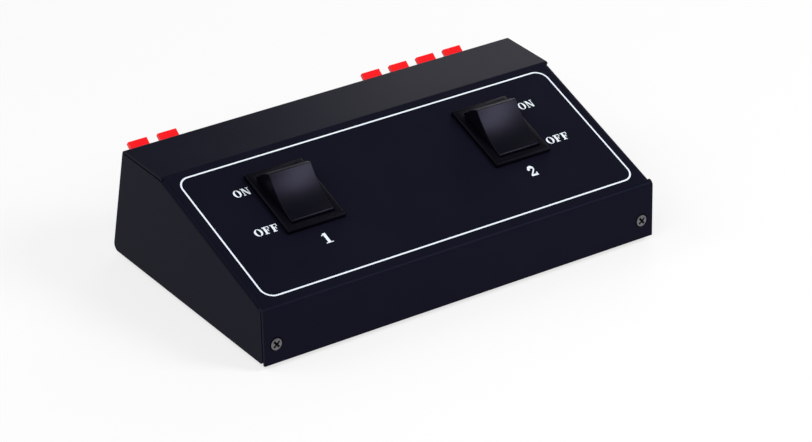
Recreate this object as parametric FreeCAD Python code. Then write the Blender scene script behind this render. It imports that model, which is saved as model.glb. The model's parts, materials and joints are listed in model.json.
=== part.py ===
import FreeCAD, Part
import math
import os

from FreeCAD import Placement, Rotation, Vector

# Speaker selector switch: a folded steel console with two rocker switches on its sloping top
# and two banks of spring clip terminals on its leaning back.
# Millimetres. X runs to the right seen from the front, Y to the back, Z up.
# The origin is the middle of the case's footprint, on the surface that the feet stand on.

# Case
case_width = 175.0
case_depth = 103.0
rear_height = 45.0
front_height = 22.0
front_lean = 1.4
rear_lean = 8.3
strip_depth = 26.0
sheet = 1.0
bend_radius = 2.0
seam_gap = 0.6
front_corner_radius = 1.2
rear_corner_radius = 2.5

# Base plate
base_side_gap = 0.4
base_face_gap = 0.15
base_bend_radius = 1.5
flange_height = 12.0
tab_gap = 3.0

# Feet
foot_radius = 4.5
foot_height = 2.0
foot_inset = 13.5

# Case screws
screw_radius = 1.45
screw_hole_radius = 1.7
screw_head_radius = 2.6
screw_cone_depth = 1.0
screw_length = 6.0
screw_rise = 7.4
front_screw_inset = 5.2
rear_screw_inset = 9.0
sink_gap = 0.35
thread_gap = 0.05

# Rocker
rocker_width = 18.0
rocker_radius = 12.4
rocker_tip_angle = 51.5
rocker_skirt_angle = 104.0
rocker_skirt_overcut = 8.0
rocker_dish = 1.4
rocker_wall = 1.3
rocker_crown_wall = 1.7
rocker_tip_radius = 0.6
rocker_side_gap = 0.3
pivot_drop = 1.33
rocker_throw = 41.0
trunnion_radius = 1.5
trunnion_length = 1.1
trunnion_gap = 0.05
trunnion_end_gap = 0.1
stem_width = 4.4
bore_gap = 0.05
stem_reach = 5.5
rib_thickness = 1.2

# Plunger and its spring
plunger_reach = 8.0
plunger_radius = 1.5
plunger_length = 4.6
plunger_nose_height = 1.1
plunger_spring_gap = 0.1
plunger_spring_length = 5.5
plunger_spring_sides = 6

# Contacts inside a switch
blade_thickness = 0.8
blade_width = 6.3
blade_spacing = 2.9
blade_reach = 8.0
seesaw_arm = 8.0
seesaw_width = 4.5
seesaw_thickness = 0.6
seesaw_v_angle = 8.0
plunger_gap = 0.1
knife_gap = 0.05
button_width = 2.8
button_height = 0.6
button_inset = 1.2
contact_gap = 0.05
contact_room = 5.5
pad_length = 3.6
slot_gap = 0.03
stop_rib_thickness = 1.2

# Switch housing, placed by the middle of its bezel
switch_inset = 41.0
switch_up_slope = 44.0
housing_side_wall = 1.6
housing_end_wall = 1.2
housing_floor = 3.5
cutout_gap = 0.1
bezel_overlap = 1.5
bezel_thickness = 2.0
bezel_chamfer = 0.5
snap_width = 6.0
snap_bulge = 1.1
snap_height = 6.0
snap_offset = 7.0
snap_gap = 0.05

# Levers, with Y out of the back and Z up the back from the pivot
lever_width = 8.1
lever_length = 12.0
lever_thickness = 1.8
lever_tilt = 27.0
lever_bar_radius = 1.6
lever_bar_reach = 0.85
lever_bar_gap = 0.05
lever_bar_end_gap = 0.15
lever_foot_reach = 5.6
lever_foot_top = 2.5
lever_foot_drop = 4.3
lever_foot_width = 1.6

# Terminal blocks on the leaning back
input_inset = 19.4
output_inset = 37.6
input_columns = 2
output_columns = 4
upper_pivot_drop = 12.46
block_rise = 5.4
block_front = 4.5
block_flange = 2.0
block_back = 12.0
block_wall = 1.5
block_ear = 4.6
block_gap = 0.2
block_corner_chamfer = 1.0
pocket_wall = 3.85
row_wall = 4.0
pocket_top = 3.6
pocket_bottom = 2.4
pocket_gap = 0.45
tunnel_width = 6.4
tunnel_top = 3.2
web_depth = 3.5
rivet_radius = 1.5
rivet_head_radius = 2.2
rivet_head_height = 0.9
rivet_gap = 0.05

# Clip springs and contact strips
clip_width = 5.0
clip_thickness = 0.4
clip_bend_run = 0.8
clip_foot_gap = 0.7
clip_lean = 1.1
clip_top = 2.9
clip_lip_run = 1.6
clip_lip_rise = 0.9
clip_end_gap = 0.2
clip_window_width = 3.0
clip_window_rise = 1.7
clip_window_drop = 1.2
strip_width = 4.8
strip_thickness = 0.8
strip_setback = 0.8
tag_reach = 6.0

# Wires
wire_radius = 0.8
wire_sides = 4
wire_stub = 5.0
wire_lane = 7.0
wire_level_step = 2.6
blade_grip = 1.6
return_lane = 8.0
return_lane_step = 3.5
bus_rise = 5.5
bus_place = 1.8
bus_step = 2.7

X_AXIS = Vector(1, 0, 0)
Z_AXIS = Vector(0, 0, 1)
OVERCUT = 1.0
TOLERANCE = 0.01

front_y = -case_depth / 2
rear_y = case_depth / 2
case_top = foot_height + rear_height
front_top = Vector(0, front_y + front_lean, foot_height + front_height)
strip_start = Vector(0, rear_y - rear_lean - strip_depth, case_top)
slope_length = (strip_start - front_top).Length
slope_angle = math.degrees(math.atan2(strip_start.z - front_top.z, strip_start.y - front_top.y))
front_angle = math.degrees(math.atan2(front_lean, front_height))
rear_angle = math.degrees(math.atan2(rear_lean, rear_height))

# Frames that lie on the panels: X across, Y along the slope or out of the back, Z away or up.
slope_frame = Placement(front_top, Rotation(X_AXIS, slope_angle))
front_frame = Placement(Vector(0, front_y, foot_height), Rotation(X_AXIS, -front_angle))
rear_frame = Placement(Vector(0, rear_y, foot_height), Rotation(X_AXIS, rear_angle))

front_screw_x = case_width / 2 - front_screw_inset
switch_x = case_width / 2 - switch_inset

seesaw_height = -pivot_drop - plunger_reach - plunger_gap - seesaw_thickness
body_depth = contact_room + housing_floor - seesaw_height
opening_width = rocker_width + 2 * rocker_side_gap
opening_length = 2 * (rocker_radius + rocker_side_gap)
body_width = opening_width + 2 * housing_side_wall
body_length = opening_length + 2 * housing_end_wall
stem_bore = plunger_radius + bore_gap
pole_x = (blade_width + blade_spacing) / 2
button_place = seesaw_arm - button_inset

terminal_pitch = lever_width + 2 * pocket_gap + pocket_wall
upper_pivot_height = math.hypot(rear_height, rear_lean) - upper_pivot_drop
tunnel_floor = (upper_pivot_height - block_rise - block_wall - pocket_top - row_wall) / 2
lower_pivot_height = block_rise + block_wall + tunnel_floor
input_middle_x = input_inset - case_width / 2
output_middle_x = case_width / 2 - output_inset
tab_low_x = input_middle_x + input_columns * terminal_pitch / 2 + block_ear + tab_gap
tab_high_x = output_middle_x - output_columns * terminal_pitch / 2 - block_ear - tab_gap
clip_top_y = -lever_foot_reach - clip_foot_gap
clip_limb_y = clip_top_y + clip_lean


def yz(y, z):
    return Vector(0, y, z)


def tangent_arc(before, corner, after, radius):
    """Arc of the given radius that touches both runs at a corner."""
    back = (before - corner).normalize()
    ahead = (after - corner).normalize()
    half = back.getAngle(ahead) / 2
    inward = (back + ahead).normalize()
    reach = radius / math.tan(half)
    centre = corner + inward * (radius / math.sin(half))
    return Part.Arc(corner + back * reach, centre - inward * radius, corner + ahead * reach).toShape()


def outline(points, radii, closed=True):
    """Wire of straight runs, with an arc at each corner that has a radius."""
    count = len(points)
    arcs = {}
    for i, radius in enumerate(radii):
        if radius > 0:
            arcs[i] = tangent_arc(points[i - 1], points[i], points[(i + 1) % count], radius)
    edges = []
    for i in range(count if closed else count - 1):
        j = (i + 1) % count
        start = points[i]
        end = points[j]
        if i in arcs:
            edges.append(arcs[i])
            start = arcs[i].lastVertex().Point
        if j in arcs:
            end = arcs[j].firstVertex().Point
        if (end - start).Length > 1e-6:
            edges.append(Part.makeLine(start, end))
    return Part.Wire(edges)


def prism_x(face_or_points, radii, low, high):
    """Solid with an outline in the YZ plane, from x = low to x = high."""
    face = face_or_points
    if isinstance(face_or_points, list):
        face = Part.Face(outline(face_or_points, radii))
    face.translate(Vector(low, 0, 0))
    return face.extrude(Vector(high - low, 0, 0))


def spans(edge):
    """Letter of the axis that an edge runs along, or nothing for any other edge."""
    size = edge.BoundBox
    lengths = {"X": size.XLength, "Y": size.YLength, "Z": size.ZLength}
    long = [axis for axis, length in lengths.items() if length > TOLERANCE]
    return long[0] if len(long) == 1 else ""


def folded_sheet(points, radius, low, high):
    """Sheet whose outer face follows the points, bent at the inner corners."""
    radii = [0] + [radius] * (len(points) - 2) + [0]
    profile = outline(points, radii, closed=False).makeOffset2D(sheet, 0, True, True, False)
    return prism_x(profile, None, low, high)


def box(low_x, high_x, low_y, high_y, low_z, high_z):
    size = (high_x - low_x, high_y - low_y, high_z - low_z)
    return Part.makeBox(*size, Vector(low_x, low_y, low_z))


def turned(points):
    """Solid turned about the Z axis from (radius, height) points."""
    corners = [Vector(radius, 0, height) for radius, height in points]
    return Part.Face(Part.makePolygon(corners + corners[:1])).revolve(Vector(), Z_AXIS, 360)


def pin_x(radius, low, high, y=0.0, z=0.0):
    return Part.makeCylinder(radius, high - low, Vector(low, y, z), X_AXIS)


def polygon(radius, sides):
    """Regular polygon about the Z axis, its corners on a circle."""
    turn = 2 * math.pi / sides
    corners = [Vector(radius * math.cos(i * turn), radius * math.sin(i * turn), 0) for i in range(sides)]
    return Part.makePolygon(corners + corners[:1])


def placed(shape, frame):
    """Copy of a shape, carried from a frame to the case."""
    moved = shape.copy()
    moved.Placement = frame * moved.Placement
    return moved


def tube(points):
    """Wire along straight runs joined by arcs as large as the runs allow."""
    radii = [0]
    for i in range(1, len(points) - 1):
        before = points[i - 1] - points[i]
        after = points[i + 1] - points[i]
        half = before.getAngle(after) / 2
        radii.append(0.45 * min(before.Length, after.Length) * math.tan(half))
    radii.append(0)
    path = outline(points, radii, closed=False)
    section = polygon(wire_radius, wire_sides)
    start = Placement(points[0], Rotation(Z_AXIS, points[1] - points[0]))
    wire = path.makePipeShell([placed(section, start)], True, False)
    expected = path.Length * Part.Face(section).Area
    print("wire", round(path.Length, 1), "mm, volume ratio", round(wire.Volume / expected, 4),
          "least bend", round(min(radii[1:-1]), 1))
    return wire


def save(name, solids):
    shape = Part.makeCompound(solids) if len(solids) > 1 else solids[0]
    shape.exportStep("parts/" + name + ".step")
    whole = len(shape.Solids) == len(solids)
    sound = whole and all(solid.isValid() and solid.isClosed() for solid in shape.Solids)
    print(name, len(solids), "solids", len(shape.Faces), "faces", "" if sound else "NOT VALID")


def screw_places():
    """Middle of each screw head on its panel, with the direction that it faces."""
    front_out = front_frame.Rotation.multVec(Vector(0, -1, 0))
    rear_out = rear_frame.Rotation.multVec(Vector(0, 1, 0))
    places = []
    for x in (-front_screw_x, front_screw_x):
        places.append((front_frame.multVec(Vector(x, 0, screw_rise)), front_out))
    for x in (tab_low_x + rear_screw_inset, tab_high_x - rear_screw_inset):
        places.append((rear_frame.multVec(Vector(x, 0, screw_rise)), rear_out))
    return places


def faced(shape, place):
    """Shape whose +Z turns to a screw's own direction, at the screw's place."""
    middle, outward = place
    return placed(shape, Placement(middle, Rotation(Z_AXIS, outward)))


def case_screw():
    """Countersunk screw, its head flush with the panel."""
    return turned([(0, 0), (screw_head_radius, 0), (screw_radius, -screw_cone_depth),
                   (screw_radius, -screw_length), (0, -screw_length)])


def screw_opening():
    """Countersunk hole for a case screw."""
    return turned([
        (0, OVERCUT), (screw_head_radius + sink_gap, OVERCUT), (screw_head_radius + sink_gap, 0),
        (screw_hole_radius, -screw_cone_depth), (screw_hole_radius, -sheet - OVERCUT), (0, -sheet - OVERCUT)])


def block_span(columns):
    """Half the width of a terminal block's body."""
    return columns * terminal_pitch / 2


def block_heights():
    """Lowest and highest level of a terminal block's body on the back panel."""
    return block_rise, upper_pivot_height + pocket_top + block_wall


def rivet_spots(middle_x, columns):
    """Rivet places in the middle of the ears of a terminal block."""
    reach = block_span(columns) + block_ear / 2
    return [(middle_x + side * reach, sum(block_heights()) / 2) for side in (-1, 1)]


def panel_cutouts():
    """Everything that is punched out of the cover."""
    tools = [faced(screw_opening(), place) for place in screw_places()]
    half_width = body_width / 2 + cutout_gap
    half_length = body_length / 2 + cutout_gap
    for side in (-1, 1):
        hole = box(-half_width, half_width, -half_length, half_length, -sheet - OVERCUT, OVERCUT)
        tools.append(placed(hole, switch_frame(side)))
    low, high = block_heights()
    for middle_x, columns in ((input_middle_x, input_columns), (output_middle_x, output_columns)):
        half = block_span(columns) + block_gap
        hole = box(middle_x - half, middle_x + half, -sheet - OVERCUT, OVERCUT,
                   low - block_gap, high + block_gap)
        tools.append(placed(hole, rear_frame))
        for x, height in rivet_spots(middle_x, columns):
            hole = Part.makeCylinder(rivet_radius + rivet_gap, sheet + 2 * OVERCUT,
                                     Vector(x, -sheet - OVERCUT, height), Vector(0, 1, 0))
            tools.append(placed(hole, rear_frame))
    return tools


def hood(inset, radius):
    """Long block under the slope, as wide as the case, with rounded upper edges."""
    half = case_width / 2 - inset
    corners = [Vector(-half, 0, -case_depth), Vector(half, 0, -case_depth),
               Vector(half, 0, -inset), Vector(-half, 0, -inset)]
    face = Part.Face(outline(corners, [0, 0, radius, radius]))
    face.translate(Vector(0, -case_depth, 0))
    return placed(face.extrude(Vector(0, 3 * case_depth, 0)), slope_frame)


def side_outline():
    """Outline of a side panel, which folds down from the slope and tucks in elsewhere."""
    inset = sheet + seam_gap
    inner_front = front_frame * Placement(Vector(0, inset, 0), Rotation())
    bottom_front = yz(front_y + inset / math.cos(math.radians(front_angle)), foot_height)
    below_slope = -slope_frame.inverse().multVec(inner_front.multVec(yz(0, front_height))).z
    climb = (OVERCUT + below_slope) / math.cos(math.radians(front_angle + slope_angle))
    top_front = inner_front.multVec(yz(0, front_height + climb))
    fold_end = slope_length - bend_radius
    seam_height = case_top - inset
    fold_level = slope_frame.multVec(yz(fold_end, 0)).z
    drop = (seam_height - fold_level) / math.cos(math.radians(slope_angle))
    top_rear_y = rear_y - rear_lean * (seam_height - foot_height) / rear_height
    points = [bottom_front, top_front, slope_frame.multVec(yz(fold_end, OVERCUT)),
              slope_frame.multVec(yz(fold_end, drop)), yz(top_rear_y, seam_height),
              yz(rear_y, foot_height)]
    return points, [front_corner_radius, 0, 0, 0, 0, rear_corner_radius]


def top_cover():
    """Front, slope, top strip and back are one folded sheet; the sides fold down from the slope."""
    half = case_width / 2
    corners = [yz(front_y, foot_height), front_top, strip_start,
               yz(rear_y - rear_lean, case_top), yz(rear_y, foot_height)]
    wrap = folded_sheet(corners, bend_radius, -half, half)
    tall = case_top + OVERCUT
    wrap = wrap.common(box(-half, half, front_y, rear_y, foot_height, tall))
    outside = hood(0, bend_radius)
    trim = placed(box(-half - OVERCUT, half + OVERCUT, bend_radius, slope_length - bend_radius / 2,
                      -3 * sheet, OVERCUT), slope_frame)
    wrap = wrap.cut(trim.cut(outside))
    inset = sheet + seam_gap
    for side in (-1, 1):
        low = min(side * (half - inset), side * (half + OVERCUT))
        high = max(side * (half - inset), side * (half + OVERCUT))
        wrap = wrap.cut(box(low, high, 0, rear_y + OVERCUT, 0, case_top - inset))
    points, radii = side_outline()
    shell = outside.cut(hood(sheet, bend_radius - sheet))
    sides = shell.common(prism_x(points, radii, -half - OVERCUT, half + OVERCUT))
    cover = wrap.fuse(sides).removeSplitter()
    return cover.cut(panel_cutouts())


def base_plate():
    """Bottom sheet with upturned flanges behind the front panel and inside the back panel."""
    half = case_width / 2 - sheet - base_side_gap
    inset = sheet + base_face_gap
    front = front_frame * Placement(Vector(0, inset, 0), Rotation())
    rear = rear_frame * Placement(Vector(0, -inset, 0), Rotation())
    corners = [rear.multVec(yz(0, flange_height)),
               yz(rear_y - inset / math.cos(math.radians(rear_angle)), foot_height),
               yz(front_y + inset / math.cos(math.radians(front_angle)), foot_height),
               front.multVec(yz(0, flange_height))]
    plate = folded_sheet(corners, base_bend_radius, -half, half)
    for low, high in ((-half - OVERCUT, tab_low_x), (tab_high_x, half + OVERCUT)):
        plate = plate.cut(box(low, high, 0, rear_y, foot_height + base_bend_radius + sheet,
                              foot_height + 2 * flange_height))
    hole = Part.makeCylinder(screw_radius + thread_gap, screw_length, Vector(0, 0, -screw_length))
    return plate.cut([faced(hole, place) for place in screw_places()])


def switch_frame(side):
    """Frame at the middle of a bezel: Y up the slope, Z out of the panel."""
    spot = Placement(Vector(side * switch_x, switch_up_slope, 0), Rotation())
    return slope_frame * spot


def pivot_frame(angle):
    """Rocker frame, turned about its pivot."""
    return Placement(Vector(0, 0, -pivot_drop), Rotation(X_AXIS, angle))


def poles():
    """Places of a switch's two poles, across from its middle."""
    return (-pole_x, pole_x)


def switch_housing():
    """Bezel and body moulded in one, with snap wings that catch under the sheet."""
    bezel_width = body_width + 2 * (cutout_gap + bezel_overlap)
    bezel_length = body_length + 2 * (cutout_gap + bezel_overlap)
    bezel = box(-bezel_width / 2, bezel_width / 2, -bezel_length / 2, bezel_length / 2, 0, bezel_thickness)
    rim = [edge for edge in bezel.Edges if edge.BoundBox.ZMin > bezel_thickness - TOLERANCE]
    bezel = bezel.makeChamfer(bezel_chamfer, rim)
    half_width = body_width / 2
    half_length = body_length / 2
    body = bezel.fuse(box(-half_width, half_width, -half_length, half_length, -body_depth, 0))
    inner_x = opening_width / 2
    inner_y = opening_length / 2
    body = body.cut(box(-inner_x, inner_x, -inner_y, inner_y, housing_floor - body_depth,
                        bezel_thickness + OVERCUT))
    reach = inner_x + trunnion_length + trunnion_end_gap - rocker_side_gap
    body = body.cut(pin_x(trunnion_radius + trunnion_gap, -reach, reach, 0, -pivot_drop))
    for side in (-1, 1):
        for place in (-snap_offset, snap_offset):
            body = body.fuse(snap_wing(side, place))
    for pole in poles():
        for place in (-button_place, 0):
            body = body.cut(blade(pole, place, 0, slot_gap))
        half = seesaw_width / 2
        thick = stop_rib_thickness / 2
        stop_rib = box(pole - half, pole + half, button_place - thick, button_place + thick,
                       housing_floor - body_depth, seesaw_height - contact_gap)
        body = body.fuse(stop_rib)
    return body.removeSplitter()


def snap_wing(side, place):
    """Wedge that is widest just under the sheet and fades into the body below."""
    top = -sheet - snap_gap
    low_y = place - snap_width / 2
    inner = side * (body_width - housing_side_wall) / 2
    corners = [Vector(inner, low_y, top), Vector(side * (body_width / 2 + snap_bulge), low_y, top),
               Vector(inner, low_y, top - snap_height)]
    face = Part.Face(Part.makePolygon(corners + corners[:1]))
    return face.extrude(Vector(0, snap_width, 0))


def blade(pole, place, top, grow=0.0):
    """Flat terminal blade that passes through the housing's floor."""
    half = blade_width / 2 + grow
    thick = blade_thickness / 2 + grow
    bottom = -body_depth - blade_reach
    return box(pole - half, pole + half, place - thick, place + thick, bottom - grow, top)


def switch_terminals():
    """Two knife edge blades that carry the seesaws and two blades with a flat contact pad."""
    solids = []
    knife = seesaw_height - knife_gap
    shoulder = knife - blade_thickness / 2
    pad_top = seesaw_height - button_height - contact_gap
    half = seesaw_width / 2
    for pole in poles():
        edge = prism_x([yz(-blade_thickness / 2, shoulder), yz(blade_thickness / 2, shoulder),
                        yz(0, knife)], [0, 0, 0], pole - blade_width / 2, pole + blade_width / 2)
        solids.append(blade(pole, 0, shoulder).fuse(edge).removeSplitter())
        pad = box(pole - half, pole + half, -button_place - pad_length / 2,
                  -button_place + pad_length / 2, pad_top - blade_thickness, pad_top)
        fixed = blade(pole, -button_place, pad_top - blade_thickness).fuse(pad)
        solids.append(fixed.removeSplitter())
    return solids


def contact_seesaws():
    """Shallow V of strip on a knife edge, level on its rear arm while the switch is off."""
    run = seesaw_arm * math.cos(math.radians(seesaw_v_angle))
    rise = seesaw_arm * math.sin(math.radians(seesaw_v_angle))
    thick = seesaw_thickness
    section = [yz(0, 0), yz(run, rise), yz(run, rise + thick), yz(0, thick), yz(-run, rise + thick),
               yz(-run, rise)]
    tilt = Rotation(X_AXIS, -seesaw_v_angle)
    solids = []
    for pole in poles():
        bar = prism_x(section, [0] * 6, pole - seesaw_width / 2, pole + seesaw_width / 2)
        half = button_width / 2
        button = box(pole - half, pole + half, -button_place - half, -button_place + half,
                     -button_height, thick / 2)
        bar = bar.fuse(placed(button, Placement(Vector(), tilt)))
        solids.append(placed(bar.removeSplitter(), Placement(Vector(0, 0, seesaw_height), tilt)))
    return solids


def around(radius, angle):
    """Point at an angle from the top of a circle about the pivot."""
    return yz(radius * math.sin(angle), radius * math.cos(angle))


def rocker_section(radius, drop, skirt_angle):
    """Dished face on top, round ends about the pivot, open chord below."""
    tip_height = rocker_radius * math.cos(math.radians(rocker_tip_angle)) - drop
    tip = math.acos(tip_height / radius)
    skirt = math.radians(skirt_angle)
    middle = yz(0, tip_height - rocker_dish)
    edges = [Part.Arc(around(radius, -tip), middle, around(radius, tip)).toShape()]
    for side in (1, -1):
        ends = [around(radius, side * angle) for angle in (tip, (tip + skirt) / 2, skirt)]
        edges.append(Part.Arc(*ends).toShape())
    edges.append(Part.makeLine(around(radius, skirt), around(radius, -skirt)))
    return Part.Face(Part.Wire(Part.__sortEdges__(edges)))


def rocker():
    """Moulded shell with trunnions, a cross rib and two stems for the plungers."""
    half = rocker_width / 2
    outer = prism_x(rocker_section(rocker_radius, 0, rocker_skirt_angle), None, -half, half)
    tips = [edge for edge in outer.Edges if spans(edge) == "X" and edge.BoundBox.ZMin > 0]
    outer = outer.makeFillet(rocker_tip_radius, tips)
    inner = rocker_section(rocker_radius - rocker_wall, rocker_crown_wall,
                           rocker_skirt_angle + rocker_skirt_overcut)
    shell = outer.cut(prism_x(inner, None, rocker_wall - half, half - rocker_wall))
    crown = rocker_radius * math.cos(math.radians(rocker_tip_angle)) - rocker_dish - rocker_wall / 2
    skirt = rocker_radius * math.cos(math.radians(rocker_skirt_angle))
    rib_end = half - rocker_wall / 2
    shell = shell.fuse(box(-rib_end, rib_end, -rib_thickness / 2, rib_thickness / 2, skirt, crown))
    bore_top = plunger_length - plunger_reach + plunger_spring_length
    half_stem = stem_width / 2
    for pole in poles():
        stem = box(pole - half_stem, pole + half_stem, -half_stem, half_stem, -stem_reach, crown)
        bore = Part.makeCylinder(stem_bore, bore_top + stem_reach, Vector(pole, 0, -stem_reach))
        shell = shell.fuse(stem).cut(bore)
    for low in (-half - trunnion_length, half - rocker_wall):
        shell = shell.fuse(pin_x(trunnion_radius, low, low + rocker_wall + trunnion_length))
    return shell.removeSplitter()


def plunger(pole):
    """Round pin, cut to a wedge at the end that rides on a seesaw."""
    nose = -plunger_reach
    top = plunger_length - plunger_reach
    shoulder = nose + plunger_nose_height
    section = [yz(-plunger_radius, top), yz(-plunger_radius, shoulder), yz(0, nose),
               yz(plunger_radius, shoulder), yz(plunger_radius, top)]
    wedge = prism_x(section, [0] * 5, pole - plunger_radius, pole + plunger_radius)
    return wedge.common(Part.makeCylinder(plunger_radius, plunger_length, Vector(pole, 0, nose)))


def plunger_spring(pole):
    """Prism that stands for the coil spring behind a plunger."""
    ring = polygon(plunger_radius, plunger_spring_sides)
    prism = Part.Face(ring).extrude(Z_AXIS * (plunger_spring_length - plunger_spring_gap))
    prism.translate(Vector(pole, 0, plunger_length - plunger_reach))
    return prism


def column_xs(middle_x, columns):
    return [middle_x + (i - (columns - 1) / 2) * terminal_pitch for i in range(columns)]


def terminal_block(middle_x, columns):
    """Moulding with a row of pockets for red levers over a row for black ones."""
    half = block_span(columns)
    low, high = block_heights()
    body = box(middle_x - half, middle_x + half, -block_back, block_front, low, high)
    ear = half + block_ear
    flange = box(middle_x - ear, middle_x + ear, 0, block_flange, low - block_wall, high + block_wall)
    corners = [edge for edge in flange.Edges if spans(edge) == "Y"]
    body = body.fuse(flange.makeChamfer(block_corner_chamfer, corners))
    tools = []
    xs = column_xs(middle_x, columns)
    for height in (lower_pivot_height, upper_pivot_height):
        tools.append(bar_seats(xs, height))
        for x in xs:
            tools += pocket(x, height)
    notch = rivet_radius + rivet_gap
    for x, height in rivet_spots(middle_x, columns):
        end = math.copysign(ear + OVERCUT, x - middle_x) + middle_x
        inner = math.copysign(notch, middle_x - x) + x
        tools.append(box(min(inner, end), max(inner, end), -OVERCUT, block_flange + OVERCUT,
                         height - notch, height + notch))
    return placed(body.cut(tools).removeSplitter(), rear_frame)


def pocket(x, height):
    """Lever slot, wire tunnel below it, and the room behind both for the clip spring."""
    half = lever_width / 2 + pocket_gap
    back = block_wall - block_back
    front = block_front + OVERCUT
    inner_front = block_front - web_depth
    floor = height - tunnel_floor
    slot = box(x - half, x + half, back, front, height - pocket_bottom, height + pocket_top)
    tunnel = box(x - tunnel_width / 2, x + tunnel_width / 2, back, front, floor, height - tunnel_top)
    room = box(x - half, x + half, back, inner_front, floor, height)
    tail_half = strip_width / 2 + slot_gap
    tail = box(x - tail_half, x + tail_half, -block_back - OVERCUT, back + OVERCUT,
               floor, floor + strip_thickness + slot_gap)
    return [slot, tunnel, room, tail]


def bar_seats(xs, height):
    """Slot from the block's back through the walls of a row, with a V at its end where the bars seat."""
    reach = lever_width / 2 + lever_bar_reach + lever_bar_end_gap
    radius = lever_bar_radius + lever_bar_gap
    back = block_wall - block_back
    apex = radius * math.sqrt(2)
    section = [yz(back, height - radius), yz(apex - radius, height - radius), yz(apex, height),
               yz(apex - radius, height + radius), yz(back, height + radius)]
    return prism_x(section, [0] * 5, xs[0] - reach, xs[-1] + reach)


def lever_at(x, height):
    """Square tab and spring foot on a half round bar, whose ends pivot in the block's seats."""
    half = lever_width / 2
    thick = lever_thickness / 2
    tab = box(-half, half, 0, lever_length, -thick, thick)
    tab = placed(tab, Placement(Vector(), Rotation(X_AXIS, lever_tilt)))
    back = -lever_foot_reach
    radius = lever_bar_radius
    foot_section = [yz(0, radius), yz(back, -lever_foot_top), yz(back, -lever_foot_drop),
                    yz(back + lever_foot_width, -lever_foot_drop), yz(0, -radius)]
    foot = prism_x(foot_section, [0] * 5, -half, half)
    bearing = Part.Arc(yz(0, -radius), yz(radius, 0), yz(0, radius)).toShape()
    flat = Part.makeLine(yz(0, radius), yz(0, -radius))
    reach = half + lever_bar_reach
    bar = prism_x(Part.Face(Part.Wire([bearing, flat])), None, -reach, reach)
    lever = bar.fuse([tab, foot]).removeSplitter()
    return placed(lever, rear_frame * Placement(Vector(x, 0, height), Rotation()))


def clip_spring_at(x, height):
    """Strip spring that lies on the contact strip and stands up behind the wire tunnel."""
    bed = strip_thickness - tunnel_floor
    back = block_wall - block_back + clip_end_gap
    points = [yz(clip_top_y - clip_lip_run, clip_lip_rise - clip_top), yz(clip_top_y, -clip_top),
              yz(clip_limb_y, bed + clip_bend_run), yz(clip_limb_y - clip_bend_run, bed), yz(back, bed)]
    path = Part.makePolygon(points)
    profile = path.makeOffset2D(clip_thickness, 0, True, True, False)
    spring = prism_x(profile, None, -clip_width / 2, clip_width / 2)
    half = clip_window_width / 2
    window = box(-half, half, clip_top_y - OVERCUT, clip_limb_y + OVERCUT, bed + clip_window_rise,
                 -clip_top - clip_window_drop)
    return placed(spring.cut(window), rear_frame * Placement(Vector(x, 0, height), Rotation()))


def contact_strip_at(x, height):
    """Flat strip on the pocket's floor, whose tail sticks out as a solder tag."""
    strip = box(-strip_width / 2, strip_width / 2, -block_back - tag_reach, clip_limb_y - strip_setback,
                -tunnel_floor, strip_thickness - tunnel_floor)
    return placed(strip, rear_frame * Placement(Vector(x, 0, height), Rotation()))


def block_rivets():
    """Flat headed rivets through the ears and the back panel."""
    solids = []
    crown = block_flange + rivet_head_height
    rivet = turned([(0, crown), (rivet_head_radius, crown), (rivet_head_radius, block_flange),
                    (rivet_radius, block_flange), (rivet_radius, -sheet), (0, -sheet)])
    outward = Rotation(Z_AXIS, Vector(0, 1, 0))
    for middle_x, columns in ((input_middle_x, input_columns), (output_middle_x, output_columns)):
        for x, height in rivet_spots(middle_x, columns):
            solids.append(placed(rivet, rear_frame * Placement(Vector(x, 0, height), outward)))
    return solids


def tag_end(x, height):
    """Middle of a solder tag's end, seen from inside the case."""
    level = height - tunnel_floor + strip_thickness / 2
    return rear_frame.multVec(Vector(x, -block_back - tag_reach, level))


def red_wires():
    """Leads from the input to the switches, across to the second switch, and on to the outputs."""
    inward = rear_frame.Rotation.multVec(Vector(0, -1, 0))
    in_xs = column_xs(input_middle_x, input_columns)
    out_xs = column_xs(output_middle_x, output_columns)
    left = switch_frame(-1)
    right = switch_frame(1)
    face = blade_thickness / 2
    tip = -body_depth - blade_reach
    wires = []
    for i, pole in enumerate(poles()):
        start = tag_end(in_xs[i], upper_pivot_height)
        level = -body_depth - blade_grip
        end = left.multVec(Vector(pole, face, level))
        near = left.multVec(Vector(pole, face + wire_stub, level))
        wires.append(tube([start, start + inward * wire_stub, near, end]))
        level = tip + blade_grip + wire_level_step * i
        from_left = [left.multVec(Vector(pole, y, level)) for y in (face, wire_lane)]
        to_right = [right.multVec(Vector(pole, y, level)) for y in (wire_lane, face)]
        wires.append(tube(from_left + to_right))
        for first, frame in ((0, left), (2, right)):
            start = frame.multVec(Vector(pole, -button_place, tip))
            below = frame.multVec(Vector(pole, -button_place, tip - wire_stub))
            end = tag_end(out_xs[first + i], upper_pivot_height)
            wires.append(tube([start, below, end + inward * wire_stub, end]))
    return wires


def black_wires():
    """Return leads from the input to the first pair of outputs, and hoops on to the second pair."""
    inward = rear_frame.Rotation.multVec(Vector(0, -1, 0))
    upward = rear_frame.Rotation.multVec(Z_AXIS)
    in_xs = column_xs(input_middle_x, input_columns)
    out_xs = column_xs(output_middle_x, output_columns)
    wires = []
    for i in range(2):
        start = tag_end(in_xs[i], lower_pivot_height)
        end = tag_end(out_xs[1 - i], lower_pivot_height)
        lane = inward * (return_lane - return_lane_step * i)
        wires.append(tube([start, start + lane, end + lane, end]))
        top = upward * (strip_thickness / 2) - inward * (bus_place + bus_step * i)
        first = tag_end(out_xs[i], lower_pivot_height) + top
        second = tag_end(out_xs[i + 2], lower_pivot_height) + top
        wires.append(tube([first, first + upward * bus_rise, second + upward * bus_rise, second]))
    return wires


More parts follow.
